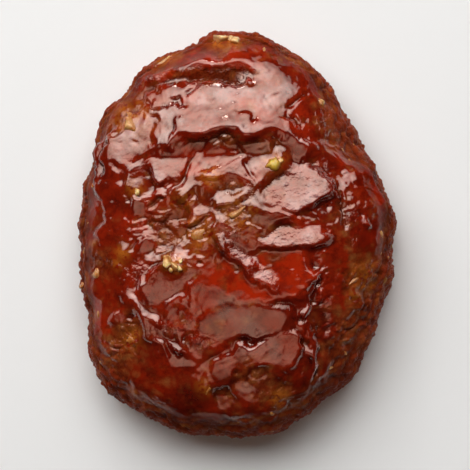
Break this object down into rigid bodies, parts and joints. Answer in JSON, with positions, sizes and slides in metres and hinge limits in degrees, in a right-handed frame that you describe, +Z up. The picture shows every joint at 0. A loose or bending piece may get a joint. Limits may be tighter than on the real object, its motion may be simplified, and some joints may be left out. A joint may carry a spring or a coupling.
{
  "type": "meatloaf",
  "caption": "Single-portion meatloaf: an uneven, hand-shaped oval loaf of ground meat with a flat base, under a thick, glossy tomato glaze in folds.",
  "frame": {"origin": "middle of the flat base that the loaf rests on", "axes": "+Z up; +Y along the loaf's length, to its narrower back end; +X across it, to its right"},
  "size_m": [0.094, 0.119, 0.032],
  "materials": {
    "glaze": "thick, wet, glossy tomato glaze, dark red where deep and thinner over the meat",
    "meat": "browned ground meat, moist and crumbly",
    "onion": "soft cooked onion and pepper, moist"
  },
  "bodies": {
    "root": {"meatloaf": "glaze"}
  },
  "joints": []
}
